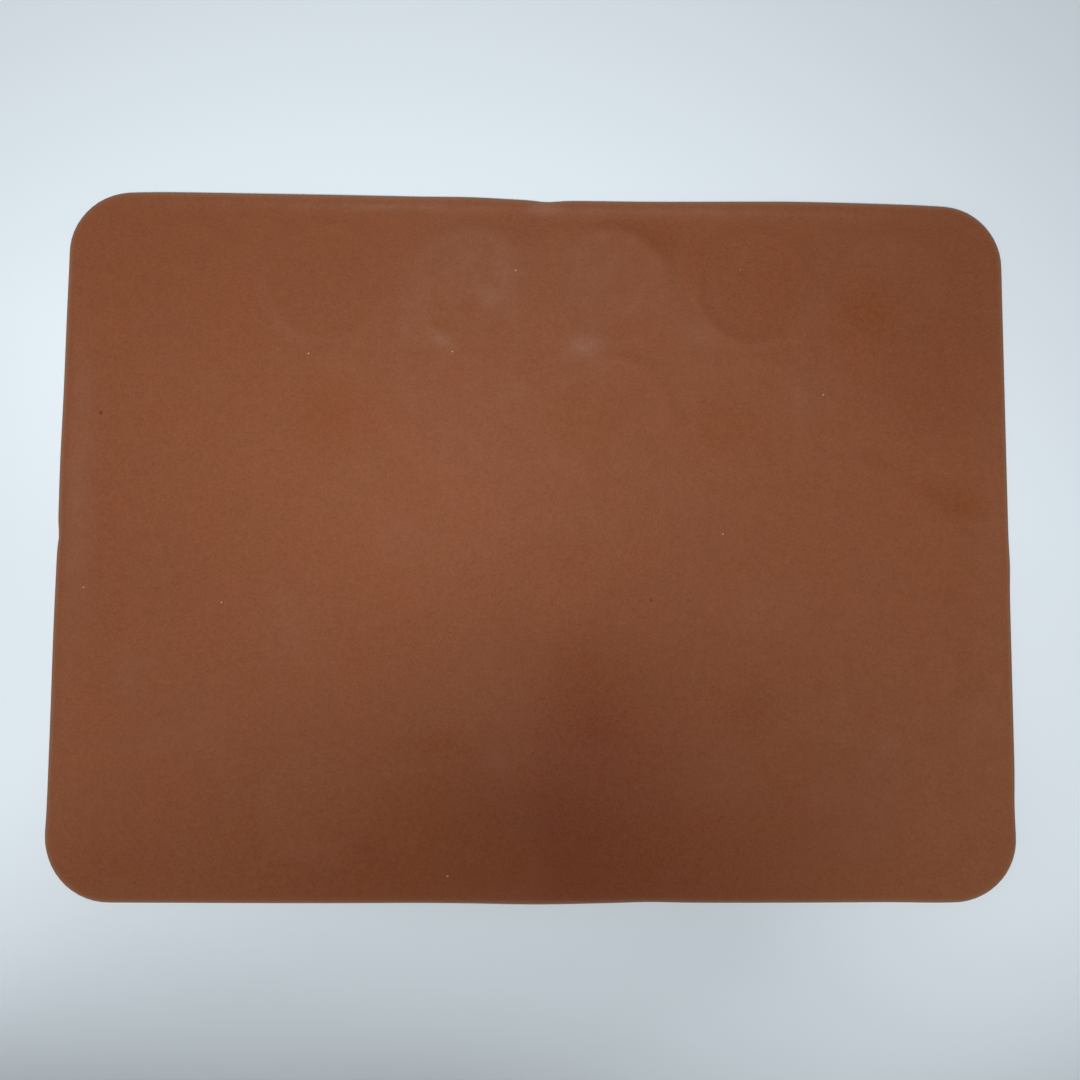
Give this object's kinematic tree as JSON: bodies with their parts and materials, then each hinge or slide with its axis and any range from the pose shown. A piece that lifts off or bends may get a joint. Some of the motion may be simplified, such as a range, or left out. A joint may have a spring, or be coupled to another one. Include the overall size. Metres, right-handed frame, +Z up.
{
  "type": "silicone baking mat",
  "caption": "Flat flexible silicone baking mat with rounded corners: smooth back, and a moulded side with a low rim and rows of paired round ridges.",
  "frame": {"origin": "on the table, under the middle of the mat's outline", "axes": "+X along the long side, +Y along the short side, +Z up out of the smooth back; the ridges point down"},
  "size_m": [0.385, 0.285, 0.003],
  "materials": {
    "silicone": "matte moulded silicone rubber, milk-chocolate brown, with a faint greasy haze"
  },
  "bodies": {
    "root": {"baking_mat": "silicone"}
  },
  "joints": []
}
